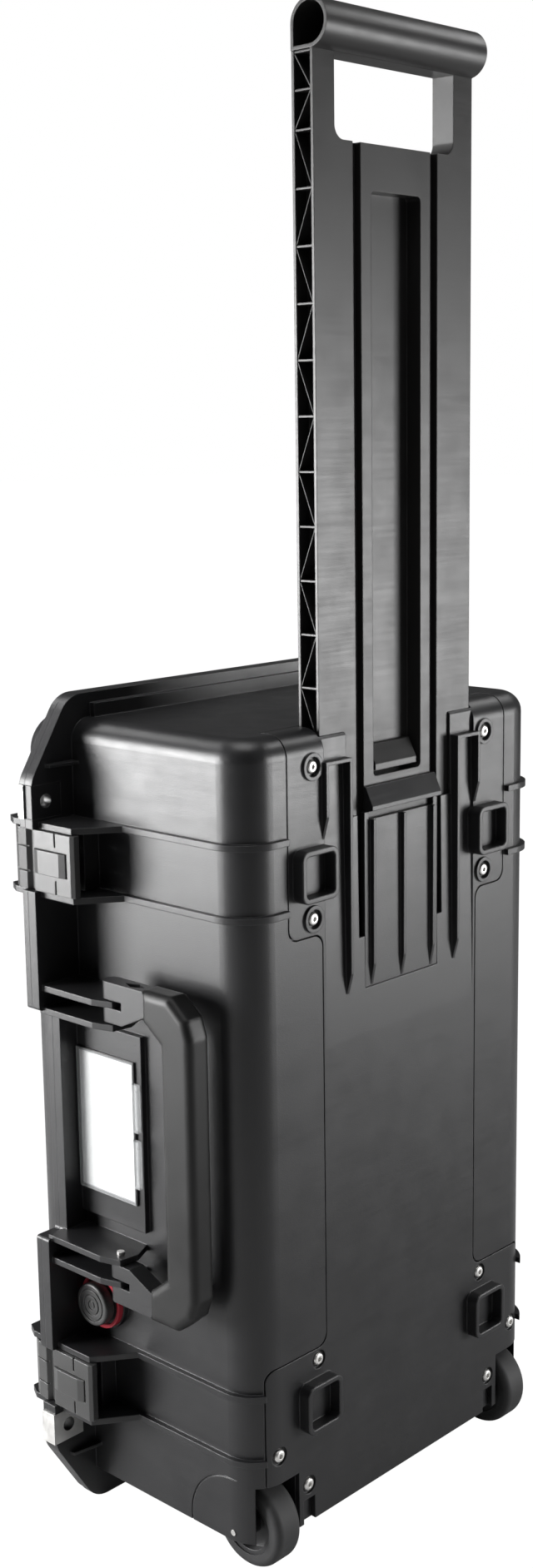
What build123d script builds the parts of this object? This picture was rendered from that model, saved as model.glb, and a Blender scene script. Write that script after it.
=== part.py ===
from build123d import *

import os

# A wheeled hard equipment case, stood on its wheel end with its trolley handle pulled out.
# Drawn with X across the case (latches at +X, hinges at -X), Y through its depth (the trolley
# face at Y = 0, the lid beyond the seam at -Y) and Z up from the floor. All sizes are in mm.
# Every part is moved by ORIGIN_SHIFT as it is written, which puts the origin under the middle.

# --- Body ---
WALL_X = 144.5
WALL_BOTTOM = 23.4
WALL_TOP = 542.0
SEAM_Y = -160.0
LID_Y = -207.0
MID_Z = 279.0
WALL = 3.5
FLOOR = 7.0
EDGE_R = 24.0
TOP_R = 14.0
LID_CORNER_R = 26.0
LID_EDGE_R = 20.0

# --- Rim where base and lid meet ---
RIM_LATCH_X = 179.0
RIM_HINGE_X = -158.0
RIM_TOP = 2 * MID_Z
RIM_CUT_X = 33.0
RIM_CUT_Z = 52.0
RIM_MID_X = 163.0
RIM_MID_HALF = 78.0
RIM_BASE = 7.0
RIM_LID = 5.0
LID_RIM_LIFT = 1.0
CORNER_HOLE_X = 167.5
CORNER_HOLE_HALF = 214.0
CORNER_HOLE_R = 4.5
INSERT_X = 155.2
INSERT_HALF = 10.8
INSERT_LIP = 1.2
INSERT_SLACK = 0.05
LEDGE_OUT = 4.0
LEDGE_TOP = 551.0
INSERT_LEVELS = {"lower": MID_Z - CORNER_HOLE_HALF, "upper": MID_Z + CORNER_HOLE_HALF}
SHORT_LIP = 0.6
SEAL_TRACK = 2.5
SEAL_SINK = 0.1
BOTTOM_WEBS_X = (-105.0, -60.0, -15.0, 30.0, 75.0, 115.0)
CORNER_WEB_Z = 236.0

# --- Ridges and latch fins ---
RIDGE_OUT = 3.5
RIDGE_HEIGHT = 4.0
RIDGE_FAR = 199.0
RIDGE_NEAR = 154.5
RIDGE_LEVELS = [MID_Z + side * far for side in (-1, 1) for far in (RIDGE_FAR, RIDGE_NEAR)]
LATCH_FAR = (RIDGE_FAR + RIDGE_NEAR) / 2
LATCH_LEVELS = {"lower": MID_Z - LATCH_FAR, "upper": MID_Z + LATCH_FAR}
FIN_X = 174.0
FIN_HALF = RIDGE_HEIGHT / 2
LATCH_GAP = RIDGE_FAR - RIDGE_NEAR - RIDGE_HEIGHT
LATCH_HALF = LATCH_GAP / 2 - 0.5
LATCH_PIN_X = 166.5
LATCH_PIN_Y = -171.5
LATCH_PIN_R = 2.0
LATCH_NOTCH_X = 158.0
PRESS_FIT = 0.02
BUTTON_HALF = 7.7
BUTTON_SPACE = 8.0
LINE_HALF = 0.5

# --- Lid hinges ---
HINGE_X = -166.0
HINGE_R = 6.0
HINGE_PIN_R = 2.5
HINGE_LENGTH = 60.0
HINGE_LEVELS = [MID_Z - 165.0, MID_Z, MID_Z + 165.0]
KNUCKLE_GAP = 0.4

# --- Trolley handle ---
TROLLEY_HALF = 74.5
TROLLEY_FRONT = -4.0
TROLLEY_BACK = -20.5
TROLLEY_BOTTOM = 425.0
GRIP_BOTTOM = 935.0
GRIP_R = 14.0
GRIP_WALL = 2.2
WINDOW_HALF = 56.0
WINDOW_BOTTOM = 887.0
WINDOW_R = 8.0
CHANNEL_SLACK = 1.7
SIDE_DEPTH = 10.0
SKIN = 2.0
TRUSS_RIB = 1.2
TRUSS_SHORT = 22.0
TRUSS_PITCH = 32.5
TRUSS_INSET = 0.4
GROOVE_IN = 33.0
GROOVE_OUT = 40.0
GROOVE_DEPTH = 5.0
POCKET_HALF = 23.5
POCKET_TOP = 860.0
POCKET_BOTTOM = 505.0
POCKET_DEPTH = 11.0
CATCH_INSET = 3.2
CATCH_TOP = 524.0
BACK_POCKETS = 7
BACK_PITCH = 65.0

# --- Trolley cover plate, its feet, ribs and screws ---
COVER = 3.5
COVER_GAP = 0.9
COVER_WRAP = -21.0
COVER_TOP_HALF = 108.0
COVER_MID_HALF = 77.0
COVER_LOW_HALF = 132.0
COVER_STEP_HIGH = 415.0
COVER_STEP_LOW = 141.0
COVER_STEP_R = 8.0
COVER_LAP = 0.2
RAMP_DEPTH = 2.2
RAMP_LONG = 30.0
FOOT_MID_X = 87.5
FOOT_SIZE = 33.0
FOOT_OUT = 8.5
FOOT_WALL = 3.5
FOOT_FLOOR = -0.5
FOOT_LEVELS = [105.0, 454.5]
SCREWS_BOSSED = [(86.0, 520.5), (86.0, 425.5)]
SCREWS_FLUSH = [(85.0, 133.0), (122.5, 81.0), (95.5, 49.5)]
SCREW_HEAD_R = 4.3
SCREW_HEAD_HIGH = 2.6
SCREW_DOME = 1.9
SCREW_SOCKET_R = 1.7
SCREW_PIT_R = 6.2
BOSS_OUT = 1.6
PIT_BOSSED = -1.4
PIT_FLUSH = -2.0
SCREW_BOSS_R = 8.6
SCREW_SHANK_R = 2.0
RIB_INNER_X = 54.0
RIB_OUTER_X = 76.0
RIB_THICK = 2.2
RIB_OUT = 4.0
RIB_TOP = 522.0
RIB_INNER_END = 370.0
RIB_OUTER_END = 474.0
CUTOUT_HALF = 52.0
CUTOUT_BOTTOM = 483.0

# --- Release tab ---
TAB_HALF = 36.5
TAB_TOP = 500.0
TAB_HEAD = 484.0
TAB_BOTTOM = 370.0
TAB_SLOT_BOTTOM = 404.0
TAB_THICK = 2.8
TAB_UNDERCUT = 5.0
TAB_EYE_HALF = 32.5
TAB_BACK = -3.4
TAB_SLOT = 5.5
TAB_SIDE_GAP = 0.1
TAB_HINGE_GAP = 0.15
TAB_RIBS_X = (-30.0, 0.0, 30.0)

# --- Wheels ---
WHEEL_R = 29.0
WHEEL_Y = -21.5
WHEEL_X = 121.5
WHEEL_WIDTH = 22.0
WHEEL_HUB_R = 20.0
AXLE_R = 3.0
AXLE_TIP_R = 1.9
RUN_FIT = 0.06
WELL_IN = 105.0
WELL_OUT = 138.0
WELL_R = 33.0
WELL_TOP = 62.0

# --- Carry handle ---
HANDLE_X = 165.0
HANDLE_Y = -98.0
HANDLE_HALF = 107.0
HANDLE_OUTER_Y = -22.0
HANDLE_INNER_Y = -48.5
HANDLE_LOW_X = 155.0
HANDLE_HIGH_X = 173.5
HANDLE_ROUND = 5.0
HANDLE_DIAMOND_Y = -77.0
LUG_END_Y = -106.0
LUG_SLOT_Y = -84.0
LUG_GAP = 0.6
ARM_HALF = 6.0
BAR_HALF = 5.0
BAR_REACH = 80.0
BRACKET_FAR = 93.0
BRACKET_NEAR = 78.0
BRACKET_HALF = 2.0
HANDLE_PIN_R = 2.5

# --- Card holder and valve ---
PANEL_X = 148.5
CARD_MID_Y = -125.0
CARD_WIDTH = 50.0
CARD_HEIGHT = 92.0
CARD_BORDER = 2.5
CLIP_WIDTH = 8.0
CLIP_HALVES = ((-35.0, -3.0), (3.0, 35.0))
VALVE_Y = -134.5
VALVE_Z = 154.0
VALVE_KNOB_R = 14.5
VALVE_STEM_R = 6.0
VALVE_RINGS = ((11.5, 10.3), (7.5, 6.3), (3.5, 2.3))

REACH = 400.0
MIDDLE_X = (RIM_LATCH_X + INSERT_LIP + HINGE_X - HINGE_R) / 2
MIDDLE_Y = (LID_Y + FOOT_OUT) / 2
ORIGIN_SHIFT = (-MIDDLE_X, -MIDDLE_Y, 0)


# --- Shared shapes ---
def slab_xz(sketch, y_low, y_high):
    """A sketch drawn in X and Z, made solid from y_low to y_high."""
    return Pos(0, y_high, 0) * extrude(Plane.XZ * sketch, amount=y_high - y_low)


def slab_xy(sketch, z_low, z_high):
    """A sketch drawn in X and Y, made solid from z_low to z_high."""
    return Pos(0, 0, z_low) * extrude(sketch, amount=z_high - z_low)


def slab_yz(sketch, x_low, x_high):
    """A sketch drawn in Y and Z, made solid from x_low to x_high."""
    return Pos(x_low, 0, 0) * extrude(Plane.YZ * sketch, amount=x_high - x_low)


def outline(points):
    """A closed face through the points."""
    return make_face(Polyline(*points, close=True))


def span(x_low, x_high, y_low, y_high, z_low, z_high):
    """A box between two corners."""
    size = Box(x_high - x_low, y_high - y_low, z_high - z_low)
    return Pos((x_low + x_high) / 2, (y_low + y_high) / 2, (z_low + z_high) / 2) * size


def both_sides(shape):
    """A shape and its mirror image across the case's middle plane."""
    return shape + mirror(shape, Plane.YZ)


def rod_x(radius, x_low, x_high, y, z):
    """A round bar along X."""
    return slab_yz(Pos(y, z) * Circle(radius), x_low, x_high)


def rod_y(radius, y_low, y_high, x, z):
    """A round bar along Y."""
    return slab_xz(Pos(x, z) * Circle(radius), y_low, y_high)


def rod_z(radius, z_low, z_high, x, y):
    """A round bar along Z."""
    return slab_xy(Pos(x, y) * Circle(radius), z_low, z_high)


# --- Case body ---
def base_block(inset, floor, bottom):
    """The base's outer form with its walls moved in by inset and its floor by floor."""
    side = WALL_X - inset
    block = span(-side, side, SEAM_Y, -floor, bottom, WALL_TOP - inset)
    upright = block.edges().filter_by(Axis.Z).group_by(Axis.Y)[-1]
    block = fillet(upright, EDGE_R - inset)
    top = block.faces().sort_by(Axis.Z)[-1].edges().sort_by(Axis.Y)[1:]
    return fillet(top, TOP_R - inset)


def lid_block(inset):
    """The lid's outer form with its walls and top moved in by inset."""
    height = WALL_TOP - WALL_BOTTOM - 2 * inset
    face = RectangleRounded(2 * (WALL_X - inset), height, LID_CORNER_R - inset)
    block = slab_xz(Pos(0, (WALL_TOP + WALL_BOTTOM) / 2) * face, LID_Y + inset, SEAM_Y)
    return fillet(block.faces().sort_by(Axis.Y)[0].edges(), LID_EDGE_R - inset)


def rim_outline(lift):
    """The rim's outline: clipped corners, and a step back between the handle brackets."""
    latch = RIM_LATCH_X
    top = RIM_TOP
    hinge_cut = RIM_CUT_X * 0.6
    points = [
        (RIM_HINGE_X + hinge_cut, lift),
        (latch - RIM_CUT_X, lift),
        (latch, RIM_CUT_Z),
        (latch, MID_Z - RIM_MID_HALF),
        (RIM_MID_X, MID_Z - RIM_MID_HALF),
        (RIM_MID_X, MID_Z + RIM_MID_HALF),
        (latch, MID_Z + RIM_MID_HALF),
        (latch, top - RIM_CUT_Z),
        (latch - RIM_CUT_X, top),
        (RIM_HINGE_X + hinge_cut, top),
        (RIM_HINGE_X, top - RIM_CUT_Z),
        (RIM_HINGE_X, RIM_CUT_Z),
    ]
    radii = [16, 20, 20, 2, 2, 2, 2, 20, 20, 16, 16, 16]
    return make_face(FilletPolyline(*points, radius=radii, close=True))


def rim(y_low, y_high, lift):
    """One half of the rim, notched for the latches and for the padlock inserts."""
    ring = slab_xz(rim_outline(lift), y_low, y_high)
    for level in LATCH_LEVELS.values():
        half = LATCH_GAP / 2
        ring -= span(LATCH_NOTCH_X, REACH, y_low, y_high, level - half, level + half)
    half = INSERT_HALF + INSERT_SLACK
    for z in INSERT_LEVELS.values():
        ring -= span(INSERT_X - INSERT_SLACK, REACH, y_low, y_high, z - half, z + half)
    return ring


def knuckle(z_low, z_high, web_low, web_high):
    """One hinge knuckle with the web that joins it to the rim."""
    web = span(HINGE_X, RIM_HINGE_X + 8, web_low, web_high, z_low, z_high)
    barrel = rod_z(HINGE_R, z_low, z_high, HINGE_X, SEAM_Y)
    return barrel + web - rod_z(HINGE_PIN_R + RUN_FIT, z_low, z_high, HINGE_X, SEAM_Y)


def base_knuckles():
    """Two outer knuckles at each hinge."""
    half = HINGE_LENGTH / 2
    third = HINGE_LENGTH / 4
    parts = Part()
    for level in HINGE_LEVELS:
        for low, high in ((level - half, level - third), (level + third, level + half)):
            parts += knuckle(low, high, SEAM_Y, SEAM_Y + RIM_BASE)
    return parts


def lid_knuckles():
    """One middle knuckle at each hinge."""
    reach = HINGE_LENGTH / 4 - KNUCKLE_GAP
    parts = Part()
    for level in HINGE_LEVELS:
        parts += knuckle(level - reach, level + reach, SEAM_Y - RIM_LID, SEAM_Y)
    return parts


def ridges():
    """Four raised bands that run round the base, clear of the cover plate."""
    grown = base_block(-RIDGE_OUT, -RIDGE_OUT, WALL_BOTTOM)
    bands = Part()
    for z in RIDGE_LEVELS:
        bands += grown & span(-REACH, REACH, SEAM_Y, REACH, z - FIN_HALF, z + FIN_HALF)
    upper = span(-COVER_TOP_HALF - 2, COVER_TOP_HALF + 2, -EDGE_R, REACH, COVER_STEP_HIGH, RIM_TOP)
    lower = span(-COVER_LOW_HALF - 2, COVER_LOW_HALF + 2, -EDGE_R, REACH, 0, COVER_STEP_LOW)
    return bands - upper - lower


def base_fins():
    """Fins each side of both latches, chamfered down to the ridges."""
    rim_face = SEAM_Y + RIM_BASE
    root = 140
    face = outline([(root, rim_face), (FIN_X, rim_face), (FIN_X, -122), (147.5, -103), (root, -103)])
    fins = Part()
    for z in RIDGE_LEVELS:
        fins += slab_xy(face, z - FIN_HALF, z + FIN_HALF)
    return fins


def lid_fins():
    """Pointed fins that carry the latch pins."""
    seam = SEAM_Y
    tip = seam - 27
    face = outline([(140, seam), (FIN_X, seam), (FIN_X, seam - 18), (FIN_X - 5, tip), (140, tip)])
    fins = Part()
    for z in RIDGE_LEVELS:
        fins += slab_xy(face, z - FIN_HALF, z + FIN_HALF)
    for level in LATCH_LEVELS.values():
        fins -= latch_pin(level, LATCH_PIN_R + PRESS_FIT)
    return fins


def brackets():
    """Two pairs of fins that hold the carry handle's pins."""
    face = outline([(140, -156), (176, -156), (176, -106), (172, -91), (158, -89), (140, -98)])
    fins = Part()
    for offset in (BRACKET_FAR, BRACKET_NEAR):
        for z in (MID_Z - offset, MID_Z + offset):
            fins += slab_xy(face, z - BRACKET_HALF, z + BRACKET_HALF)
    for side in (-1, 1):
        fins -= handle_pin(side, HANDLE_PIN_R + PRESS_FIT)
    return fins


def rim_gussets():
    """A low ledge along the rim's top, small webs below, and one in each latch corner."""
    rim_face = SEAM_Y + RIM_BASE
    webs = span(-118, 128, rim_face - 1, rim_face + LEDGE_OUT, WALL_TOP - 2, LEDGE_TOP)
    web = outline(
        [
            (SEAM_Y, WALL_BOTTOM + 3),
            (rim_face + 11, WALL_BOTTOM + 3),
            (rim_face, WALL_BOTTOM - 17),
            (SEAM_Y, WALL_BOTTOM - 17),
        ]
    )
    for x in BOTTOM_WEBS_X:
        webs += slab_yz(web, x - 1, x + 1)
    face = outline([(141, -156), (168, -156), (166, -150), (141, -146)])
    for z in (MID_Z - CORNER_WEB_Z, MID_Z + CORNER_WEB_Z):
        webs += slab_xy(face, z - 1, z + 1)
    return webs


def wheel_wells():
    """Housings for the wheels at the trolley side's bottom corners."""
    housing = rod_x(WELL_R + WALL, WELL_IN - WALL, WALL_X, WHEEL_Y, WHEEL_R)
    housing += span(WELL_IN - WALL, WALL_X, WHEEL_Y, 0, WALL_BOTTOM, WELL_TOP + WALL)
    return both_sides(housing)


def wheel_spaces():
    """What the wheels and their axles take out of the base and cover."""
    space = rod_x(WELL_R, WELL_IN, WELL_OUT, WHEEL_Y, WHEEL_R)
    space += span(WELL_IN, WELL_OUT, WHEEL_Y, REACH, 0, WELL_TOP)
    space += rod_x(AXLE_R + PRESS_FIT, WELL_IN - WALL, WELL_OUT, WHEEL_Y, WHEEL_R)
    space += rod_x(AXLE_TIP_R + PRESS_FIT, WELL_OUT, REACH, WHEEL_Y, WHEEL_R)
    return both_sides(space)


def well_marks():
    """A fine moulded line round each wheel housing on the side walls."""
    ring = rod_x(WELL_R + 5, WALL_X - 0.7, REACH, WHEEL_Y, WHEEL_R)
    ring -= rod_x(WELL_R + 4, WALL_X - 0.7, REACH, WHEEL_Y, WHEEL_R)
    return both_sides(ring)


def cover_outline(gap):
    """The cover plate's outline, wide at both ends, grown by gap."""
    points = [
        (COVER_LOW_HALF + gap, WALL_BOTTOM - REACH),
        (COVER_LOW_HALF + gap, COVER_STEP_LOW + gap),
        (COVER_MID_HALF + gap, COVER_STEP_LOW + gap),
        (COVER_MID_HALF + gap, COVER_STEP_HIGH - gap),
        (COVER_TOP_HALF + gap, COVER_STEP_HIGH - gap),
        (COVER_TOP_HALF + gap, REACH + RIM_TOP),
    ]
    points += [(-x, z) for x, z in reversed(points)]
    face = outline(points)
    steps = [v for v in face.vertices() if 0 < v.Y < RIM_TOP]
    return fillet(steps, COVER_STEP_R)


def channel():
    """The space that the trolley slides in."""
    half = TROLLEY_HALF + CHANNEL_SLACK
    return span(-half, half, TROLLEY_BACK - 1, 0.0, WALL_BOTTOM + WALL, REACH + RIM_TOP)


def trolley_hump():
    """The raised box inside the base that houses the trolley."""
    half = TROLLEY_HALF + CHANNEL_SLACK + WALL
    hump = span(-half, half, TROLLEY_BACK - 1 - WALL, -FLOOR + 1, WALL_BOTTOM, WALL_TOP)
    return hump & base_block(0, 0, WALL_BOTTOM)


def screw_places():
    """Every cover screw as X, Z and whether it stands in a raised boss."""
    places = []
    for side in (-1, 1):
        places += [(side * x, z, True) for x, z in SCREWS_BOSSED]
        places += [(side * x, z, False) for x, z in SCREWS_FLUSH]
    return places


def base_shell():
    """The deep half of the case: walls, rim, fins, brackets, hinge knuckles and wheel housings."""
    outer = base_block(0, 0, WALL_BOTTOM)
    cavity = base_block(WALL, FLOOR, WALL_BOTTOM + WALL)
    shell = outer + rim(SEAM_Y, SEAM_Y + RIM_BASE, 0) + ridges() + base_fins() + brackets()
    shell += rim_gussets()
    shell += span(140, PANEL_X, -156, -92, MID_Z - 66, MID_Z + 66)
    shell += rod_x(VALVE_KNOB_R + 5, 140, PANEL_X, VALVE_Y, VALVE_Z)
    for level in LATCH_LEVELS.values():
        shell += span(140, LATCH_NOTCH_X - 1, -134, -130, level - LATCH_HALF, level + LATCH_HALF)
    shell += base_knuckles()
    shell -= cavity
    shell += trolley_hump() + (wheel_wells() & outer)
    lap = COVER + COVER_LAP
    shell -= slab_xz(cover_outline(COVER_GAP), COVER_WRAP - COVER_GAP, REACH) - base_block(lap, lap, 0)
    shell -= channel() + wheel_spaces() + well_marks()
    for x, z, _ in screw_places():
        shell -= rod_y(SCREW_SHANK_R, -FLOOR, 0, x, z)
    return shell - rod_x(VALVE_STEM_R, 130, REACH, VALVE_Y, VALVE_Z)


# --- Trolley cover plate ---
def foot(x, z):
    """One hollow square foot with softened edges."""
    inside = FOOT_SIZE - 2 * FOOT_WALL
    block = slab_xz(Pos(x, z) * RectangleRounded(FOOT_SIZE, FOOT_SIZE, 6), -COVER + 1, FOOT_OUT)
    block -= slab_xz(Pos(x, z) * RectangleRounded(inside, inside, 3), FOOT_FLOOR, FOOT_OUT)
    return fillet(block.faces().sort_by(Axis.Y)[-1].edges(), 0.8)


def upright_rib(x, z_low, z_high):
    """A thin upright rib that tapers to a point at its lower end."""
    half = RIB_THICK / 2
    points = [(-COVER, z_low + 6), (0, z_low), (RIB_OUT, z_low + 14), (RIB_OUT, z_high)]
    return slab_yz(outline(points + [(-COVER, z_high)]), x - half, x + half)


def cover_ribs():
    """The upside-down U ribs each side of the trolley."""
    ribs = upright_rib(RIB_INNER_X, RIB_INNER_END, RIB_TOP)
    ribs += upright_rib(RIB_OUTER_X, RIB_OUTER_END, RIB_TOP)
    half = RIB_THICK / 2
    ribs += span(RIB_INNER_X - half, RIB_OUTER_X + half, -COVER, RIB_OUT, RIB_TOP - RIB_THICK, RIB_TOP)
    return both_sides(ribs)


def cover_ramp():
    """The shallow slope between the ribs, deepest at the top."""
    half = RIB_OUTER_X - RIB_THICK / 2
    start = RIB_INNER_END - RAMP_LONG
    deep = -RAMP_DEPTH
    points = [(1, start), (0, start), (deep, RIB_TOP), (deep, RIM_TOP), (1, RIM_TOP)]
    return slab_yz(outline(points), -half, half)


def trolley_cover():
    """The screwed-on plate over the trolley: it wraps the top edge and carries the feet."""
    skin = base_block(0, 0, WALL_BOTTOM) - base_block(COVER, COVER, 0)
    plate = skin & slab_xz(cover_outline(0), COVER_WRAP, REACH)
    plate = plate - cover_ramp() + cover_ribs()
    for z in FOOT_LEVELS:
        plate += both_sides(foot(FOOT_MID_X, z))
    for x, z, bossed in screw_places():
        if bossed:
            plate += rod_y(SCREW_BOSS_R, -COVER, BOSS_OUT, x, z)
        pit_floor = PIT_BOSSED if bossed else PIT_FLUSH
        plate -= rod_y(SCREW_PIT_R, pit_floor, REACH, x, z)
        plate -= rod_y(SCREW_SHANK_R + 0.3, -FLOOR, 0, x, z)
    plate -= both_sides(span(90, WELL_IN - 4, -COVER, REACH, 0, 40))
    plate -= span(-CUTOUT_HALF, CUTOUT_HALF, -COVER, REACH, CUTOUT_BOTTOM, REACH + RIM_TOP)
    slot = TAB_HALF + TAB_SLOT
    plate -= span(-slot, slot, -COVER, REACH, TAB_SLOT_BOTTOM, CUTOUT_BOTTOM)
    side = TAB_HALF + TAB_SIDE_GAP
    plate -= span(-side, side, -COVER, REACH, TAB_BOTTOM - TAB_HINGE_GAP, CUTOUT_BOTTOM)
    half = TROLLEY_HALF + CHANNEL_SLACK
    plate -= span(-half, half, -REACH, -COVER, 0, REACH + RIM_TOP)
    return plate - wheel_spaces()


def cover_screws():
    """Ten pan-head screws, each one a separate solid."""
    screws = []
    for x, z, bossed in screw_places():
        seat = PIT_BOSSED if bossed else PIT_FLUSH
        head = rod_y(SCREW_HEAD_R, seat, seat + SCREW_HEAD_HIGH, x, z)
        head = fillet(head.faces().sort_by(Axis.Y)[-1].edges(), SCREW_DOME)
        head -= slab_xz(Pos(x, z) * RegularPolygon(SCREW_SOCKET_R, 6), seat + 1.2, REACH)
        screws.append(head + rod_y(SCREW_SHANK_R - PRESS_FIT, -FLOOR + 0.2, seat, x, z))
    return Compound(children=screws)


# --- Trolley handle ---
def truss_levels():
    """Heights of the side ribs, from the grip down."""
    levels = [GRIP_BOTTOM - 1, GRIP_BOTTOM - TRUSS_SHORT, GRIP_BOTTOM - 2 * TRUSS_SHORT]
    while levels[-1] - TRUSS_PITCH > TROLLEY_BOTTOM:
        levels.append(levels[-1] - TRUSS_PITCH)
    return levels


def trolley_truss():
    """Flat ribs and zig-zag diagonals inside one side channel of the trolley."""
    x_low = TROLLEY_HALF - SIDE_DEPTH
    x_high = TROLLEY_HALF - TRUSS_INSET
    back = TROLLEY_BACK + SKIN
    front = TROLLEY_FRONT - SKIN
    levels = truss_levels()
    ribs = Part()
    for z in levels:
        ribs += span(x_low, x_high, back, front, z - TRUSS_RIB / 2, z + TRUSS_RIB / 2)
    for count, (high, low) in enumerate(zip(levels, levels[1:])):
        start, end = (back, front) if count % 2 == 0 else (front, back)
        half = TRUSS_RIB
        bar = outline([(start, high - half), (start, high), (end, low + half), (end, low)])
        ribs += slab_yz(bar, x_low, x_high)
    return ribs


def trolley_board():
    """The trolley's moulded board: open side channels, front grooves and a long pocket."""
    half = TROLLEY_HALF
    front = TROLLEY_FRONT
    back = TROLLEY_BACK
    board = span(-half, half, back, front, TROLLEY_BOTTOM, GRIP_BOTTOM)
    window = Pos(0, (WINDOW_BOTTOM + GRIP_BOTTOM + 20) / 2)
    window *= RectangleRounded(2 * WINDOW_HALF, GRIP_BOTTOM + 20 - WINDOW_BOTTOM, WINDOW_R)
    board -= slab_xz(window, back, front)
    inner = half - SIDE_DEPTH
    side = span(inner, REACH, back + SKIN, front - SKIN, TROLLEY_BOTTOM + SKIN, GRIP_BOTTOM)
    board -= both_sides(side)
    groove = span(GROOVE_IN, GROOVE_OUT, front - GROOVE_DEPTH, front, TROLLEY_BOTTOM, WINDOW_BOTTOM)
    board -= both_sides(groove)
    pocket_mid = (POCKET_TOP + POCKET_BOTTOM) / 2
    pocket = Pos(0, pocket_mid) * RectangleRounded(2 * POCKET_HALF, POCKET_TOP - POCKET_BOTTOM, 3)
    return board - slab_xz(pocket, front - POCKET_DEPTH, front) - both_sides(back_pockets())


def back_pockets():
    """Weight-saving pockets up one side of the trolley's back, with cross ribs between them."""
    pockets = Part()
    for count in range(BACK_POCKETS):
        low = TROLLEY_BOTTOM + 8 + count * BACK_PITCH
        pocket = Pos(52, low + BACK_PITCH / 2) * RectangleRounded(18, BACK_PITCH - 6, 3)
        pockets += slab_xz(pocket, TROLLEY_BACK, TROLLEY_BACK + 12)
    return pockets


def grip_section(inset):
    """The grip's D-shaped section, round on top and flat below."""
    middle = TROLLEY_BACK + GRIP_R
    height = GRIP_BOTTOM + GRIP_R
    radius = GRIP_R - inset
    lower = outline(
        [
            (TROLLEY_BACK + inset, GRIP_BOTTOM + inset),
            (TROLLEY_FRONT - inset, GRIP_BOTTOM + inset),
            (middle + radius * 0.94, height - radius * 0.34),
            (middle, height),
            (TROLLEY_BACK + inset, height),
        ]
    )
    return lower + Pos(middle, height) * Circle(radius)


def trolley_grip():
    """The hollow grip across the top of the trolley, open at both ends."""
    half = TROLLEY_HALF + 0.5
    return slab_yz(grip_section(0), -half, half) - slab_yz(grip_section(GRIP_WALL), -half, half)


def trolley_catch():
    """The catch block at the foot of the trolley's long pocket."""
    deep = TROLLEY_FRONT - POCKET_DEPTH
    low = POCKET_BOTTOM + CATCH_INSET
    half = POCKET_HALF - CATCH_INSET
    profile = outline([(deep, low), (deep, CATCH_TOP), (deep + 4, CATCH_TOP), (-5, 512), (-5, low)])
    return slab_yz(profile, -half, half)


def trolley_guides():
    """Two low-friction strips that guide the trolley's sides."""
    inner = TROLLEY_HALF + 0.6
    strip = span(inner, TROLLEY_HALF + CHANNEL_SLACK, -19, -6, 430, 525)
    return Compound(children=[strip, mirror(strip, Plane.YZ)])


def release_tab():
    """The springy tab that frees the trolley: a plate with three ribs, a slot and a raised head."""
    front = TAB_BACK + TAB_THICK
    plate = outline(
        [
            (TAB_BACK, TAB_BOTTOM + TAB_THICK / 2),
            (front, TAB_BOTTOM),
            (front, TAB_HEAD),
            (TAB_BACK, TAB_HEAD),
        ]
    )
    head = outline(
        [
            (TAB_BACK, TAB_HEAD),
            (front, TAB_HEAD),
            (front + 5.2, TAB_HEAD + 1.5),
            (front + 5.2, TAB_HEAD + 4),
            (front - 0.6, TAB_TOP),
            (TAB_BACK, TAB_TOP),
        ]
    )
    tab = slab_yz(plate, -TAB_HALF, TAB_HALF) + slab_yz(head, -TAB_HALF + 2, TAB_HALF - 2)
    rib_top = TAB_HEAD - TAB_UNDERCUT
    tab -= span(-TAB_EYE_HALF, TAB_EYE_HALF, TAB_BACK, front, rib_top, TAB_HEAD)
    rib = outline(
        [
            (front - 1, TAB_BOTTOM + 1),
            (front, TAB_BOTTOM + 1),
            (front + 2.8, TAB_BOTTOM + 15),
            (front + 3.2, rib_top),
            (front - 1, rib_top),
        ]
    )
    half = RIB_THICK / 2
    for x in TAB_RIBS_X:
        tab += slab_yz(rib, x - half, x + half)
    return tab


# --- Wheels ---
def wheel_hub():
    """A hub with a rim, a recessed web and a bore for the axle."""
    half = WHEEL_WIDTH / 2
    hub = rod_x(WHEEL_HUB_R, WHEEL_X - half + 1, WHEEL_X + half - 1, WHEEL_Y, WHEEL_R)
    ring = rod_x(WHEEL_HUB_R - 3, WHEEL_X + 4, WHEEL_X + half, WHEEL_Y, WHEEL_R)
    ring -= rod_x(AXLE_R + 4, WHEEL_X + 4, WHEEL_X + half, WHEEL_Y, WHEEL_R)
    return hub - ring - rod_x(AXLE_R + RUN_FIT, 0, REACH, WHEEL_Y, WHEEL_R)


def wheel_tyre():
    """A rubber tyre with rounded shoulders."""
    half = WHEEL_WIDTH / 2
    tyre = rod_x(WHEEL_R, WHEEL_X - half, WHEEL_X + half, WHEEL_Y, WHEEL_R)
    tyre = fillet(tyre.edges(), 5)
    return tyre - rod_x(WHEEL_HUB_R + 0.02, 0, REACH, WHEEL_Y, WHEEL_R)


def axle():
    """A stepped steel axle held in the base."""
    tip = rod_x(AXLE_TIP_R, WELL_OUT, WALL_X + 0.3, WHEEL_Y, WHEEL_R)
    return rod_x(AXLE_R, WELL_IN - WALL, WELL_OUT, WHEEL_Y, WHEEL_R) + tip


# --- Lid ---
def foot_seats():
    """Shallow squares in the lid that take the feet of a case stacked on it."""
    seats = Part()
    size = FOOT_SIZE + 3
    for z in FOOT_LEVELS:
        ring = Pos(FOOT_MID_X, z) * RectangleRounded(size, size, 6)
        seats += both_sides(slab_xz(ring, LID_Y - 1, LID_Y + 1.5))
    return seats


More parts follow.
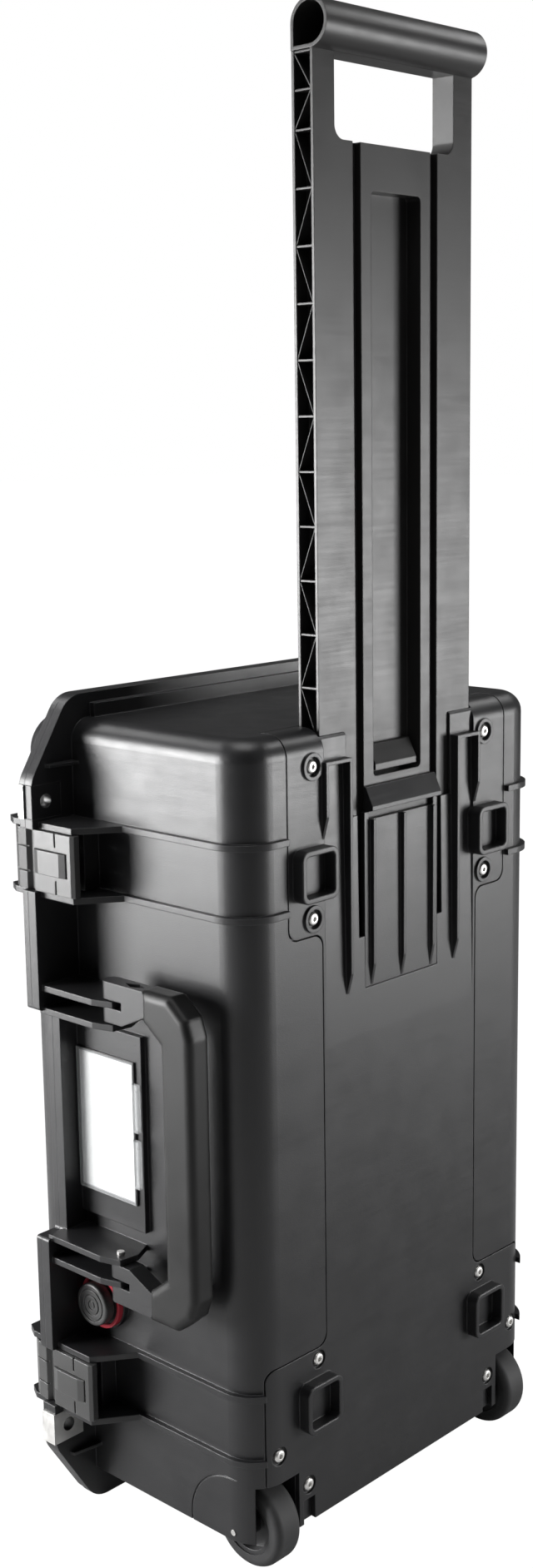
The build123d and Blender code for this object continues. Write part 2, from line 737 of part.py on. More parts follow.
def lid_ridges():
    """Raised bands across the lid that continue the base's ridges."""
    side = WALL_X + RIDGE_OUT
    face = Pos(0, MID_Z) * Rectangle(2 * side, RIM_TOP)
    grown = slab_xz(face, LID_Y + 14, SEAM_Y)
    bands = Part()
    for z in RIDGE_LEVELS:
        bands += grown & span(-REACH, REACH, LID_Y, SEAM_Y, z - FIN_HALF, z + FIN_HALF)
    return bands


def gasket_ring(depth):
    """The gasket's track in the lid's edge."""
    height = WALL_TOP - WALL_BOTTOM
    outer = RectangleRounded(2 * WALL_X + 12, height + 8, LID_CORNER_R)
    inner = RectangleRounded(2 * WALL_X + 5, height + 1, LID_CORNER_R - 3.5)
    middle = (WALL_TOP + WALL_BOTTOM) / 2
    return slab_xz(Pos(0, middle) * (outer - inner), SEAM_Y - depth, SEAM_Y)


def lid_shell():
    """The shallow half of the case."""
    shell = lid_block(0) + rim(SEAM_Y - RIM_LID, SEAM_Y, LID_RIM_LIFT) + lid_ridges()
    shell += lid_fins() + lid_knuckles()
    return shell - lid_block(WALL) - foot_seats() - gasket_ring(SEAL_TRACK)


def lid_gasket():
    """The rubber seal, just under the seam plane."""
    return Pos(0, -SEAL_SINK, 0) * gasket_ring(SEAL_TRACK - SEAL_SINK)


# --- Steel padlock inserts ---
def insert(y_low, y_high, lip_low, lip_high, z):
    """A drilled steel block let into the rim, with a lip over the rim's outer edge."""
    block = span(INSERT_X, RIM_LATCH_X, y_low, y_high, z - INSERT_HALF, z + INSERT_HALF)
    block -= rod_y(CORNER_HOLE_R, y_low, y_high, CORNER_HOLE_X, z)
    outer = RIM_LATCH_X + INSERT_LIP
    return block + span(RIM_LATCH_X, outer, lip_low, lip_high, z - INSERT_HALF, z + INSERT_HALF)


# --- Latches ---
def latch_pin(level, radius):
    """The pin that a latch turns on."""
    half = LATCH_GAP / 2 + RIDGE_HEIGHT
    return rod_z(radius, level - half, level + half, LATCH_PIN_X, LATCH_PIN_Y)


def latch_pins():
    """Both latch pins, one solid each."""
    return Compound(children=[latch_pin(level, LATCH_PIN_R) for level in LATCH_LEVELS.values()])


def latch(level):
    """A pull latch: a curved plate with a finger groove at the seam and a hooked end."""
    face = outline(
        [
            (168, -178.5),
            (172.5, -177.5),
            (175.5, -172),
            (176.5, -163),
            (173.5, -160.5),
            (173.5, -158),
            (176.5, -155.5),
            (176.5, -121),
            (175, -118.5),
            (171, -118.5),
            (169.5, -120),
            (170, -164),
            (162, -166),
            (161, -174),
        ]
    )
    low = level - LATCH_HALF
    high = level + LATCH_HALF
    body = slab_xy(face, low, high)
    body -= span(165, REACH, -156, -124.2, level - BUTTON_SPACE, level + BUTTON_SPACE)
    for z in (low, high):
        body -= span(174.8, REACH, -136, -134.6, z - 9, z + 9)
    for z in (level - BUTTON_SPACE, level + BUTTON_SPACE):
        body -= span(173.6, REACH, -178, -162, z - LINE_HALF, z + LINE_HALF)
    return body - rod_z(LATCH_PIN_R + RUN_FIT, low, high, LATCH_PIN_X, LATCH_PIN_Y)


def latch_button(level):
    """The press button in the middle of a latch."""
    points = [(170.5, -155), (177, -155), (178.5, -150), (178.5, -130), (177, -125.2)]
    return slab_xy(outline(points + [(170.5, -125.2)]), level - BUTTON_HALF, level + BUTTON_HALF)


# --- Carry handle ---
def handle_pin(side, radius):
    """The pin at one end of the carry handle."""
    low = MID_Z + side * (BRACKET_NEAR - 4)
    high = MID_Z + side * (HANDLE_HALF - 2)
    return rod_z(radius, min(low, high), max(low, high), HANDLE_X, HANDLE_Y)


def handle_pins():
    """Both carry handle pins, one solid each."""
    return Compound(children=[handle_pin(side, HANDLE_PIN_R) for side in (-1, 1)])


def handle_arm():
    """The upper arm: two lugs round the bracket fin, then a web that runs into the grip."""
    top = MID_Z + HANDLE_HALF
    reach = BRACKET_HALF + LUG_GAP
    low = MID_Z + BRACKET_NEAR + reach
    arm = outline(
        [
            (LUG_END_Y, top),
            (-64.5, top),
            (-62, top - 5),
            (-56, top - 5),
            (HANDLE_OUTER_Y - 12, MID_Z + 86),
            (HANDLE_OUTER_Y - 6, MID_Z + 60),
            (HANDLE_INNER_Y + 6, MID_Z + 60),
            (HANDLE_INNER_Y + 6, MID_Z + 80),
            (-60, MID_Z + 92),
            (LUG_SLOT_Y, low),
            (LUG_END_Y, low),
        ]
    )
    solid = slab_yz(arm, HANDLE_X - ARM_HALF, HANDLE_X + ARM_HALF)
    slot = MID_Z + BRACKET_FAR
    solid -= span(0, REACH, -REACH, LUG_SLOT_Y, slot - reach, slot + reach)
    corner = span(0, REACH, -REACH, HANDLE_Y, 0, REACH)
    corner -= rod_z(ARM_HALF, 0, REACH, HANDLE_X, HANDLE_Y)
    diamond = [(HANDLE_X, -9), (HANDLE_X + 4, 0), (HANDLE_X, 9), (HANDLE_X - 4, 0)]
    recess = outline([(x, HANDLE_DIAMOND_Y + y) for x, y in diamond])
    solid -= slab_xy(recess, top - 6, top)
    return solid - corner - handle_pin(1, HANDLE_PIN_R + RUN_FIT)


def handle_core():
    """The stiff frame of the carry handle."""
    arm = handle_arm()
    other = mirror(arm, Plane.XY.offset(MID_Z))
    inner = HANDLE_INNER_Y + 6
    outer = HANDLE_OUTER_Y - 6
    low = MID_Z - BAR_REACH
    return arm + other + span(HANDLE_X - BAR_HALF, HANDLE_X + BAR_HALF, inner, outer, low, MID_Z + BAR_REACH)


def handle_grip():
    """The soft grip moulded over the handle's long bar and corners."""
    end = HANDLE_HALF + 1
    upper = [
        (HANDLE_INNER_Y, 76),
        (-64, 88),
        (-64, end),
        (-40, end),
        (HANDLE_OUTER_Y - 4, end - 12),
        (HANDLE_OUTER_Y, 84),
    ]
    points = [(y, MID_Z + z) for y, z in upper] + [(y, MID_Z - z) for y, z in reversed(upper)]
    body = slab_yz(outline(points), HANDLE_LOW_X, HANDLE_HIGH_X)
    faces = body.faces().sort_by(Axis.X)
    body = fillet(faces[0].edges() + faces[-1].edges(), HANDLE_ROUND)
    return body - handle_core()


# --- Card holder and purge valve ---
def card_plate(x_low, x_high, grow):
    """A rectangle as big as the card, grown on every side."""
    half_y = CARD_WIDTH / 2 + grow
    half_z = CARD_HEIGHT / 2 + grow
    return span(x_low, x_high, CARD_MID_Y - half_y, CARD_MID_Y + half_y, MID_Z - half_z, MID_Z + half_z)


def card_holder():
    """A shallow frame on the wall."""
    frame = card_plate(PANEL_X, PANEL_X + 1.4, CARD_BORDER)
    return frame - card_plate(PANEL_X + 0.6, REACH, CARD_BORDER - 2)


def name_card():
    """A blank card."""
    return card_plate(PANEL_X + 0.6, PANEL_X + 1.0, 0)


def card_cover():
    """The clear cover with its two hinged clips along one edge."""
    cover = card_plate(PANEL_X + 1.4, PANEL_X + 2.2, CARD_BORDER - 0.5)
    edge = CARD_MID_Y + CARD_WIDTH / 2
    for low, high in CLIP_HALVES:
        cover += span(PANEL_X + 1.4, PANEL_X + 4, edge, edge + CLIP_WIDTH, MID_Z + low, MID_Z + high)
        lug = rod_z(1.6, MID_Z + low + 4, MID_Z + high - 4, PANEL_X + 3.4, edge + CLIP_WIDTH)
        cover += lug
    return cover


def valve_body():
    """The purge valve's threaded body through the wall."""
    inside = WALL_X - WALL
    stem = rod_x(VALVE_STEM_R - PRESS_FIT, inside - 4, PANEL_X, VALVE_Y, VALVE_Z)
    nut = slab_yz(Pos(VALVE_Y, VALVE_Z) * RegularPolygon(11, 6), inside - 4, inside)
    plate = rod_x(VALVE_KNOB_R + 1.5, PANEL_X, PANEL_X + 1.5, VALVE_Y, VALVE_Z)
    neck = rod_x(9, PANEL_X + 1.5, PANEL_X + 4.5, VALVE_Y, VALVE_Z)
    return stem + nut + plate + neck


def valve_ring():
    """The coloured seal ring under the valve's knob."""
    ring = rod_x(VALVE_KNOB_R + 3.9, PANEL_X, PANEL_X + 3.5, VALVE_Y, VALVE_Z)
    return ring - rod_x(VALVE_KNOB_R + 1.52, PANEL_X, PANEL_X + 3.5, VALVE_Y, VALVE_Z)


def valve_knob():
    """The round knob with stepped rings on its face."""
    low = PANEL_X + 4.5
    knob = rod_x(VALVE_KNOB_R, low, low + 7, VALVE_Y, VALVE_Z)
    knob = fillet(knob.edges().group_by(Axis.X)[-1], 1.5)
    for outer, inner in VALVE_RINGS:
        ring = rod_x(outer, low + 6, REACH, VALVE_Y, VALVE_Z)
        knob -= ring - rod_x(inner, low + 6, REACH, VALVE_Y, VALVE_Z)
    return knob


def hinge_pins():
    """Three hinge pins, one solid each."""
    half = HINGE_LENGTH / 2
    pins = [rod_z(HINGE_PIN_R, z - half, z + half, HINGE_X, SEAM_Y) for z in HINGE_LEVELS]
    return Compound(children=pins)


def all_parts():
    """Every node by name."""
    parts = {
        "base_shell": base_shell(),
        "trolley_cover": trolley_cover(),
        "cover_screws": cover_screws(),
        "trolley_guides": trolley_guides(),
        "trolley_board": trolley_board(),
        "trolley_grip": trolley_grip(),
        "trolley_catch": trolley_catch(),
        "release_tab": release_tab(),
        "lid_shell": lid_shell(),
        "lid_gasket": lid_gasket(),
        "latch_pins": latch_pins(),
        "hinge_pins": hinge_pins(),
        "handle_pins": handle_pins(),
        "carry_handle_core": handle_core(),
        "carry_handle_grip": handle_grip(),
        "card_holder": card_holder(),
        "name_card": name_card(),
        "card_cover": card_cover(),
        "valve_body": valve_body(),
        "valve_ring": valve_ring(),
        "valve_knob": valve_knob(),
    }
    for name, z in INSERT_LEVELS.items():
        base_lip = SEAM_Y + RIM_BASE if name == "lower" else SEAM_Y + SHORT_LIP
        parts[f"base_protector_{name}"] = insert(SEAM_Y, SEAM_Y + RIM_BASE, SEAM_Y, base_lip, z)
        lid_low = SEAM_Y - RIM_LID
        parts[f"lid_protector_{name}"] = insert(lid_low, SEAM_Y, lid_low, SEAM_Y, z)
    for name, level in LATCH_LEVELS.items():
        parts[f"latch_{name}"] = latch(level)
        parts[f"latch_button_{name}"] = latch_button(level)
    sided = {
        "axle": axle(),
        "wheel_hub": wheel_hub(),
        "wheel_tyre": wheel_tyre(),
        "trolley_truss": trolley_truss(),
    }
    for name, shape in sided.items():
        parts[f"{name}_latch_side"] = shape
        parts[f"{name}_hinge_side"] = mirror(shape, Plane.YZ)
    return parts


os.makedirs("parts", exist_ok=True)
for node, shape in all_parts().items():
    export_step(Pos(*ORIGIN_SHIFT) * shape, f"parts/{node}.step")
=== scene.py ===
import math

import bmesh
import bpy
from mathutils import Matrix, Vector


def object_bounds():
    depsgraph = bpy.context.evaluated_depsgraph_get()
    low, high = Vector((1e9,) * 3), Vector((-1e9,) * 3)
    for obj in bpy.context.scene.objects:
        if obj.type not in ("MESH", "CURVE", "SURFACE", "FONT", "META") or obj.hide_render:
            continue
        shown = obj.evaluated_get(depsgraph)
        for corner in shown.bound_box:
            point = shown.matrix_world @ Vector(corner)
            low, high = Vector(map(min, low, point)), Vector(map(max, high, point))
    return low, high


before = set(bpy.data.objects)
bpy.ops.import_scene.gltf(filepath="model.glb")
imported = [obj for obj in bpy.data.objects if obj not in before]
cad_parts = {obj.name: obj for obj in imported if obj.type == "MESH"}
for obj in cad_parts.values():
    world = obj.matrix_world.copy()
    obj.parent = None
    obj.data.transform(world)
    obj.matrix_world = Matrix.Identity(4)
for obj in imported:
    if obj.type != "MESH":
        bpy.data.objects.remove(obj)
cad_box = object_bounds()

# Looks for a wheeled hard equipment case with its trolley pulled out. Lengths are in metres.

# --- Camera: its place, line of sight and roll, its sensor and lens in millimetres, and its clips ---
CAMERA_PLACE = Vector((0.91568, 0.85292, 0.72384))
CAMERA_LOOK = Vector((-0.71247, -0.67641, -0.1867))
CAMERA_ROLL = math.radians(-0.87)
SENSOR = 36.0
LENS = 43.355
CLIP_NEAR, CLIP_FAR = 0.01, 100.0

# --- Lights, each with its name, place, the point it faces, width, height and watts ---
LIGHTS = (
    ("key", (1.55, -1.35, 0.58), (0.14, 0.0, 0.5), 1.05, 0.95, 95.0),
    ("side", (-1.6, 1.9, 0.38), (0.0, 0.0, 0.4), 1.0, 0.8, 44.0),
    ("top", (0.2, 0.2, 2.8), (0.0, 0.0, 0.4), 1.6, 1.6, 30.0),
    ("strip_lid", (0.5, -1.8, 2.1), (0.1, 0.0, 0.4), 1.4, 0.35, 11.0),
    ("strip_hinge", (-1.8, 0.5, 2.1), (0.0, 0.1, 0.4), 1.4, 0.35, 11.0),
)

# --- Backdrop and fill: their colour and strengths ---
WHITE = (1.0, 1.0, 1.0, 1.0)
BACKGROUND = 1.0
FILL = 0.09

# --- Floor: its grid parts a side, half its width and its matt grey; and, for the camera alone, the
# strength of its glow and the share of glow in what is seen ---
FLOOR_PARTS, FLOOR_HALF = 4, 20.0
FLOOR_GREY = 0.55
GLOW_STRENGTH = 1.14
GLOW_SHARE = 0.88

# --- Moulded plastic: scales per metre of its grain, mottling, clouds and rub marks, how much paler
# # and how strong its edge wear and painted edge highlight are, how far mottling and rubs change its
# roughness, and its edge radius ---
FINE_GRAIN = 1500.0
MOTTLE = 55.0
CLOUD = 7.0
PALER_WEAR_AND_HIGHLIGHT = 6.0
RUB_SCALE = (18.0, 18.0, 420.0)
PATCH_ROUGH, RUB_ROUGH = 0.035, 0.02
WEAR_AND_HIGHLIGHT_LEAST, WEAR_AND_HIGHLIGHT_MOST = 0.15, 0.75
MOULDED_EDGE = 0.0009

# --- Rubber: scale of its dust, how far dust changes its roughness, and the radius of its edges ---
DUST = 22.0
DUST_SMOOTHER, DUST_ROUGHER = 0.05, 0.08
RUBBER_EDGE = 0.0006
GRIP_EDGE = 0.004

# --- Steel: scales of its brushed line and stains, its two tones, its roughness, bump and edges ---
BRUSH_SCALE = (2600.0, 2600.0, 90.0)
STAIN = 160.0
STEEL_DULL, STEEL_BRIGHT = (0.72, 0.71, 0.69), (0.9, 0.89, 0.87)
STEEL_ROUGH = (0.34, 0.5)
STEEL_BUMP = 0.00001
STEEL_EDGE = 0.0003

# --- Padlock holes: their axis across the case, their heights, radius, soft rim, the dark tone painted in as shade, and
# # what is added to the roughness inside ---
HOLE_X = 0.1634
HOLE_HEIGHTS = (0.065, 0.493)
HOLE_R = 0.0046
HOLE_RIM = 0.0003
HOLE_PAINTED_SHADE = (0.012, 0.012, 0.012)
HOLE_ROUGHER = 0.5

# --- Card: scales of its fibres and ruled lines, its tones, the lines' strength, roughness, bump ---
FIBRES, RULES = 2400.0, 20.0
CARD_GREY, CARD_WHITE = (0.70, 0.70, 0.69), (0.78, 0.78, 0.77)
RULE_TONE = (0.35, 0.38, 0.42)
RULE_STRENGTH = 0.35
CARD_ROUGH = 0.75
CARD_BUMP = 0.00001

# --- Card cover: scale of its smears, its roughness, tint and opacity ---
SMEAR = 70.0
CLEAR_ROUGH = (0.05, 0.16)
CLEAR_TONE = (0.9, 0.92, 0.93, 1.0)
CLEAR_ALPHA = 0.22

# --- Refractive index of each kind of surface ---
PLASTIC_IOR, RUBBER_IOR, CLEAR_IOR = 1.5, 1.38, 1.49

# --- Moulded slots: dark tone, light tone, roughness, grain, depth of the grain ---
BLACK, SOFT_BLACK = (0.010, 0.010, 0.011), (0.017, 0.017, 0.018)
WARM_BLACK, WARM_SOFT_BLACK = (0.011, 0.0105, 0.0105), (0.017, 0.0165, 0.0165)
MOULDED_SLOTS = {
    "case_plastic": (BLACK, SOFT_BLACK, 0.36, FINE_GRAIN, 0.00003),
    "trolley_plastic": (WARM_BLACK, WARM_SOFT_BLACK, 0.4, FINE_GRAIN * 1.2, 0.00002),
    "handle_plastic": (BLACK, SOFT_BLACK, 0.42, FINE_GRAIN, 0.00003),
    "latch_plastic": ((0.034, 0.034, 0.034), (0.052, 0.052, 0.052), 0.34, FINE_GRAIN * 1.3, 0.00002),
    "hub_plastic": ((0.016, 0.016, 0.017), (0.026, 0.026, 0.027), 0.42, FINE_GRAIN, 0.00002),
    "guide_plastic": ((0.02, 0.02, 0.021), (0.03, 0.03, 0.031), 0.34, FINE_GRAIN, 0.00001),
}

# --- Rubber slots: dark tone, light tone, roughness, grain, depth of the grain, edge radius ---
RUBBER_SLOTS = {
    "grip_rubber": ((0.006, 0.006, 0.006), (0.010, 0.010, 0.010), 0.4, 2200.0, 0.00002, GRIP_EDGE),
    "seal_rubber": ((0.012, 0.012, 0.012), (0.02, 0.02, 0.02), 0.6, 1800.0, 0.00002, RUBBER_EDGE),
    "red_seal": ((0.36, 0.02, 0.035), (0.46, 0.04, 0.06), 0.5, 1800.0, 0.00002, RUBBER_EDGE),
    "tyre_rubber": ((0.028, 0.028, 0.029), (0.05, 0.05, 0.05), 0.62, 1500.0, 0.00006, RUBBER_EDGE),
}


# --- Node helpers ---
def fresh_tree(name):
    """The material with this name, which CAD objects may wear already, and its emptied node tree."""
    material = bpy.data.materials.get(name) or bpy.data.materials.new(name)
    material.use_nodes = True
    material.node_tree.nodes.clear()
    return material, material.node_tree


def add(tree, kind, **values):
    """A node with its properties or sockets set."""
    node = tree.nodes.new(kind)
    for key, value in values.items():
        if hasattr(node, key):
            setattr(node, key, value)
        else:
            node.inputs[key.replace("_", " ")].default_value = value
    return node


def link(tree, source, target):
    """Joins an output socket to an input socket."""
    tree.links.new(source, target)


def place(tree):
    """The object's own coordinates, in metres."""
    return add(tree, "ShaderNodeTexCoord").outputs["Object"]


def noise(tree, coords, scale, detail=3.0, rough=0.55):
    """A noise value from 0 to 1."""
    node = add(tree, "ShaderNodeTexNoise", Scale=scale, Detail=detail, Roughness=rough)
    link(tree, coords, node.inputs["Vector"])
    return node.outputs["Fac"]


def remap(tree, value, low, high, out_low, out_high):
    """value moved from one range to another, held inside it."""
    node = add(tree, "ShaderNodeMapRange", clamp=True)
    for socket, number in zip(node.inputs[1:5], (low, high, out_low, out_high)):
        socket.default_value = number
    link(tree, value, node.inputs["Value"])
    return node.outputs["Result"]


def maths(tree, operation, first, second):
    """A sum, product or the like of sockets or numbers."""
    node = add(tree, "ShaderNodeMath", operation=operation)
    for socket, value in zip(node.inputs, (first, second)):
        if isinstance(value, (int, float)):
            socket.default_value = value
        else:
            link(tree, value, socket)
    return node.outputs[0]


def blend_colour(tree, share, low, high):
    """A colour between two, each a tuple or a socket."""
    node = add(tree, "ShaderNodeMix", data_type="RGBA")
    link(tree, share, node.inputs[0])
    for socket, value in ((node.inputs[6], low), (node.inputs[7], high)):
        if isinstance(value, tuple):
            socket.default_value = (*value, 1.0)
        else:
            link(tree, value, socket)
    return node.outputs[2]


def stretched(tree, coords, scale):
    """Coordinates scaled unevenly, for marks that run one way."""
    node = add(tree, "ShaderNodeMapping")
    node.inputs["Scale"].default_value = scale
    link(tree, coords, node.inputs["Vector"])
    return node.outputs["Vector"]


def edges(tree, radius):
    """The rounded normal at edges, and a mask that is 1 on sharp edges."""
    bevel = add(tree, "ShaderNodeBevel", samples=4, Radius=radius)
    plain = add(tree, "ShaderNodeNewGeometry")
    dot = add(tree, "ShaderNodeVectorMath", operation="DOT_PRODUCT")
    link(tree, bevel.outputs["Normal"], dot.inputs[0])
    link(tree, plain.outputs["Normal"], dot.inputs[1])
    mask = remap(tree, dot.outputs["Value"], 0.98, 0.75, 0.0, 1.0)
    return bevel.outputs["Normal"], mask


def bump(tree, height, distance, normal=None):
    """A bump of that height in metres, over a normal if there is one."""
    node = add(tree, "ShaderNodeBump", Strength=1.0, Distance=distance)
    link(tree, height, node.inputs["Height"])
    if normal is not None:
        link(tree, normal, node.inputs["Normal"])
    return node.outputs["Normal"]


def shader(tree, **values):
    """The surface shader, joined to the output."""
    node = add(tree, "ShaderNodeBsdfPrincipled")
    for key, value in values.items():
        node.inputs[key.replace("_", " ")].default_value = value
    output = add(tree, "ShaderNodeOutputMaterial")
    link(tree, node.outputs["BSDF"], output.inputs["Surface"])
    return node


# --- Materials ---
def moulded(slot, dark, light, rough, grain, depth):
    """Grained black moulding: clouded colour, mottled sheen, fine rub marks, and paler edges that are
    partly wear and partly a painted highlight.
    """
    _, tree = fresh_tree(slot)
    coords = place(tree)
    surface = shader(tree, IOR=PLASTIC_IOR)
    cloud = noise(tree, coords, CLOUD, 4.0)
    mottle = noise(tree, coords, MOTTLE, 5.0)
    rub = noise(tree, stretched(tree, coords, RUB_SCALE), 1.0, 2.0)
    rounded, edge_wear_and_highlight = edges(tree, MOULDED_EDGE)
    # Paler colour on sharp edges: partly edge wear, partly a painted highlight along the edges.
    wear_and_highlight = maths(tree, "MULTIPLY", edge_wear_and_highlight, remap(tree, mottle, 0.35, 0.7, WEAR_AND_HIGHLIGHT_LEAST, WEAR_AND_HIGHLIGHT_MOST))
    colour = blend_colour(tree, remap(tree, cloud, 0.3, 0.7, 0.0, 1.0), dark, light)
    wear_and_highlight_colour = tuple(min(1.0, PALER_WEAR_AND_HIGHLIGHT * part) for part in light)
    link(tree, blend_colour(tree, wear_and_highlight, colour, wear_and_highlight_colour), surface.inputs["Base Color"])
    patches = remap(tree, mottle, 0.3, 0.7, rough - PATCH_ROUGH, rough + PATCH_ROUGH)
    rubs = remap(tree, rub, 0.35, 0.65, -RUB_ROUGH, RUB_ROUGH)
    link(tree, maths(tree, "ADD", patches, rubs), surface.inputs["Roughness"])
    cells = add(tree, "ShaderNodeTexVoronoi", feature="SMOOTH_F1", Scale=grain, Smoothness=0.6)
    link(tree, coords, cells.inputs["Vector"])
    height = maths(tree, "ADD", cells.outputs["Distance"], noise(tree, coords, grain * 2.2, 2.0))
    link(tree, bump(tree, height, depth, rounded), surface.inputs["Normal"])


def rubber(slot, dark, light, rough, grain, depth, edge_radius):
    """Soft matt rubber with dusty patches."""
    _, tree = fresh_tree(slot)
    coords = place(tree)
    surface = shader(tree, IOR=RUBBER_IOR)
    dust = noise(tree, coords, DUST, 6.0, 0.65)
    fine = noise(tree, coords, grain, 3.0)
    tone = blend_colour(tree, remap(tree, dust, 0.35, 0.72, 0.0, 1.0), dark, light)
    link(tree, tone, surface.inputs["Base Color"])
    sheen = remap(tree, dust, 0.3, 0.7, rough - DUST_SMOOTHER, rough + DUST_ROUGHER)
    link(tree, sheen, surface.inputs["Roughness"])
    rounded, _ = edges(tree, edge_radius)
    link(tree, bump(tree, fine, depth, rounded), surface.inputs["Normal"])


def near_hole(tree, coords, height):
    """1 inside the padlock hole at that height, 0 outside it."""
    offset = add(tree, "ShaderNodeVectorMath", operation="SUBTRACT")
    offset.inputs[1].default_value = (HOLE_X, 0.0, height)
    flat = add(tree, "ShaderNodeVectorMath", operation="MULTIPLY")
    flat.inputs[1].default_value = (1.0, 0.0, 1.0)
    away = add(tree, "ShaderNodeVectorMath", operation="LENGTH")
    link(tree, coords, offset.inputs[0])
    link(tree, offset.outputs["Vector"], flat.inputs[0])
    link(tree, flat.outputs["Vector"], away.inputs[0])
    return remap(tree, away.outputs["Value"], HOLE_R, HOLE_R + HOLE_RIM, 1.0, 0.0)


def steel(slot):
    """Stamped stainless steel with a fine brushed line, slight tarnish, and padlock holes painted
    dark as painted shade.
    """
    _, tree = fresh_tree(slot)
    coords = place(tree)
    surface = shader(tree)
    brushed = noise(tree, stretched(tree, coords, BRUSH_SCALE), 1.0, 2.0)
    stain = noise(tree, coords, STAIN, 4.0)
    holes = [near_hole(tree, coords, height) for height in HOLE_HEIGHTS]
    hole = maths(tree, "ADD", *holes)
    bright = blend_colour(tree, stain, STEEL_DULL, STEEL_BRIGHT)
    # Inside the padlock holes the colour is painted dark as painted shade, and the metal is taken off
    # there.
    tone = blend_colour(tree, hole, bright, HOLE_PAINTED_SHADE)
    link(tree, tone, surface.inputs["Base Color"])
    link(tree, maths(tree, "SUBTRACT", 1.0, hole), surface.inputs["Metallic"])
    rough = remap(tree, maths(tree, "MULTIPLY", brushed, stain), 0.1, 0.45, *STEEL_ROUGH)
    rough = maths(tree, "ADD", rough, remap(tree, hole, 0.0, 1.0, 0.0, HOLE_ROUGHER))
    link(tree, rough, surface.inputs["Roughness"])
    rounded, _ = edges(tree, STEEL_EDGE)
    link(tree, bump(tree, brushed, STEEL_BUMP, rounded), surface.inputs["Normal"])


def paper(slot):
    """A blank white card with faint fibres and ruled lines."""
    _, tree = fresh_tree(slot)
    coords = place(tree)
    surface = shader(tree, Roughness=CARD_ROUGH)
    fibres = noise(tree, coords, FIBRES)
    tone = blend_colour(tree, remap(tree, fibres, 0.3, 0.7, 0.0, 1.0), CARD_GREY, CARD_WHITE)
    rule = add(tree, "ShaderNodeTexWave", wave_type="BANDS", bands_direction="Y", Scale=RULES)
    link(tree, coords, rule.inputs["Vector"])
    lines = remap(tree, rule.outputs["Fac"], 0.985, 1.0, 0.0, RULE_STRENGTH)
    link(tree, blend_colour(tree, lines, tone, RULE_TONE), surface.inputs["Base Color"])
    link(tree, bump(tree, fibres, CARD_BUMP), surface.inputs["Normal"])


def clear_cover(slot):
    """The clear glossy card cover."""
    _, tree = fresh_tree(slot)
    coords = place(tree)
    surface = shader(tree, Base_Color=CLEAR_TONE, IOR=CLEAR_IOR, Alpha=CLEAR_ALPHA)
    smear = noise(tree, coords, SMEAR, 4.0)
    link(tree, remap(tree, smear, 0.3, 0.7, *CLEAR_ROUGH), surface.inputs["Roughness"])


def make_materials():
    """One material for every slot of the record."""
    for slot, looks in MOULDED_SLOTS.items():
        moulded(slot, *looks)
    for slot, looks in RUBBER_SLOTS.items():
        rubber(slot, *looks)
    steel("steel")
    paper("card_paper")
    clear_cover("clear_plastic")


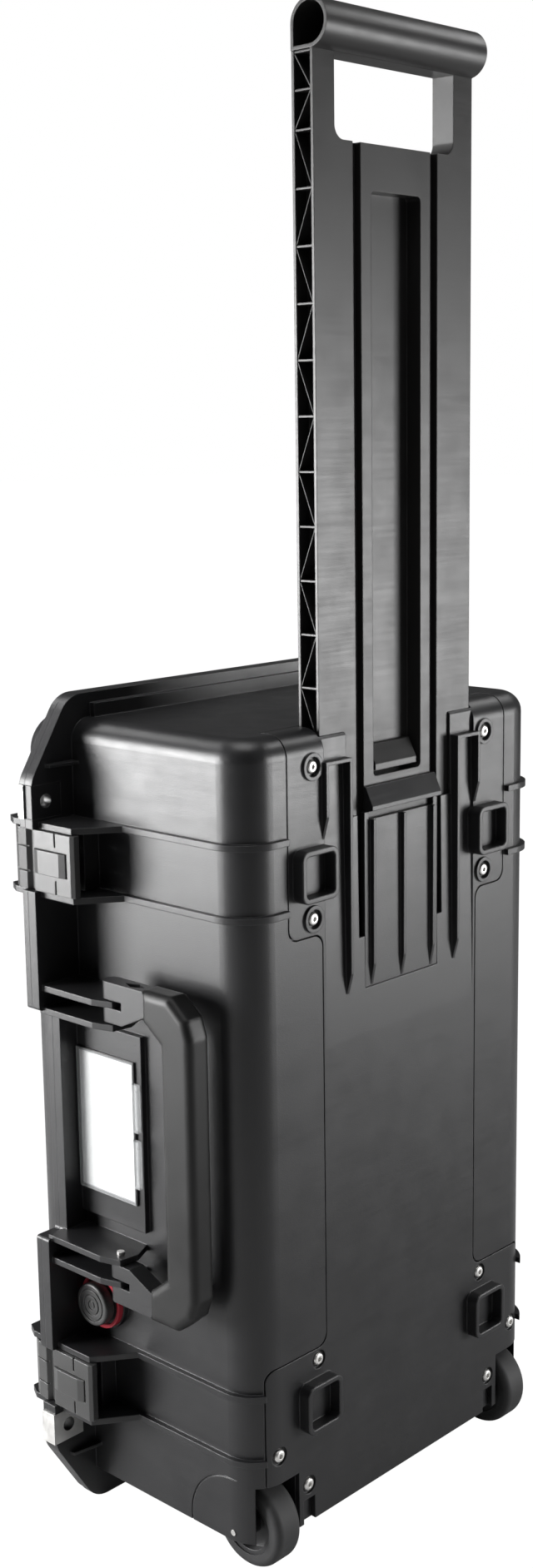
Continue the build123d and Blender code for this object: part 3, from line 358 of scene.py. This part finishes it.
# --- Stage, light and camera ---
def make_floor(low):
    """A plain pale floor under the case."""
    mesh = bpy.data.meshes.new("floor")
    shape = bmesh.new()
    bmesh.ops.create_grid(shape, x_segments=FLOOR_PARTS, y_segments=FLOOR_PARTS, size=FLOOR_HALF)
    shape.to_mesh(mesh)
    shape.free()
    floor = bpy.data.objects.new("floor", mesh)
    floor.location.z = low
    bpy.context.scene.collection.objects.link(floor)
    material, tree = fresh_tree("floor_white")
    glow = add(tree, "ShaderNodeEmission", Color=WHITE, Strength=GLOW_STRENGTH)
    matt = add(tree, "ShaderNodeBsdfDiffuse", Color=(FLOOR_GREY, FLOOR_GREY, FLOOR_GREY, 1.0))
    path = add(tree, "ShaderNodeLightPath")
    share = remap(tree, path.outputs["Is Camera Ray"], 0.0, 1.0, 0.0, GLOW_SHARE)
    mix = add(tree, "ShaderNodeMixShader")
    output = add(tree, "ShaderNodeOutputMaterial")
    link(tree, share, mix.inputs["Fac"])
    link(tree, matt.outputs["BSDF"], mix.inputs[1])
    link(tree, glow.outputs["Emission"], mix.inputs[2])
    link(tree, mix.outputs["Shader"], output.inputs["Surface"])
    mesh.materials.append(material)


def area_light(name, place_at, target, width, height, watts):
    """A rectangular soft light that faces a point."""
    data = bpy.data.lights.new(name, "AREA")
    data.shape = "RECTANGLE"
    data.size = width
    data.size_y = height
    data.energy = watts
    lamp = bpy.data.objects.new(name, data)
    lamp.location = place_at
    lamp.rotation_euler = (Vector(target) - Vector(place_at)).to_track_quat("-Z", "Y").to_euler()
    bpy.context.scene.collection.objects.link(lamp)


def make_lights():
    """A key on the latch side, one on the trolley side, a top light and two strips for the edges."""
    for light in LIGHTS:
        area_light(*light)


def make_world():
    """White behind the case, and a dim even fill on it."""
    world = bpy.data.worlds.new("studio")
    bpy.context.scene.world = world
    world.use_nodes = True
    tree = world.node_tree
    tree.nodes.clear()
    seen = add(tree, "ShaderNodeBackground", Color=WHITE, Strength=BACKGROUND)
    fill = add(tree, "ShaderNodeBackground", Color=WHITE, Strength=FILL)
    mix = add(tree, "ShaderNodeMixShader")
    path = add(tree, "ShaderNodeLightPath")
    output = add(tree, "ShaderNodeOutputWorld")
    link(tree, path.outputs["Is Camera Ray"], mix.inputs["Fac"])
    link(tree, fill.outputs["Background"], mix.inputs[1])
    link(tree, seen.outputs["Background"], mix.inputs[2])
    link(tree, mix.outputs["Shader"], output.inputs["Surface"])


def make_camera():
    """The camera, rolled about its line of sight."""
    data = bpy.data.cameras.new("camera")
    data.sensor_fit = "AUTO"
    data.sensor_width = SENSOR
    data.lens = LENS
    data.clip_start = CLIP_NEAR
    data.clip_end = CLIP_FAR
    camera = bpy.data.objects.new("camera", data)
    camera.location = CAMERA_PLACE
    aim = CAMERA_LOOK.to_track_quat("-Z", "Y").to_matrix()
    camera.rotation_euler = (aim @ Matrix.Rotation(CAMERA_ROLL, 3, "Z")).to_euler()
    bpy.context.scene.collection.objects.link(camera)
    bpy.context.scene.camera = camera


make_materials()
make_floor(cad_box[0].z)
make_lights()
make_world()
make_camera()
bpy.context.scene.view_settings.view_transform = "Standard"
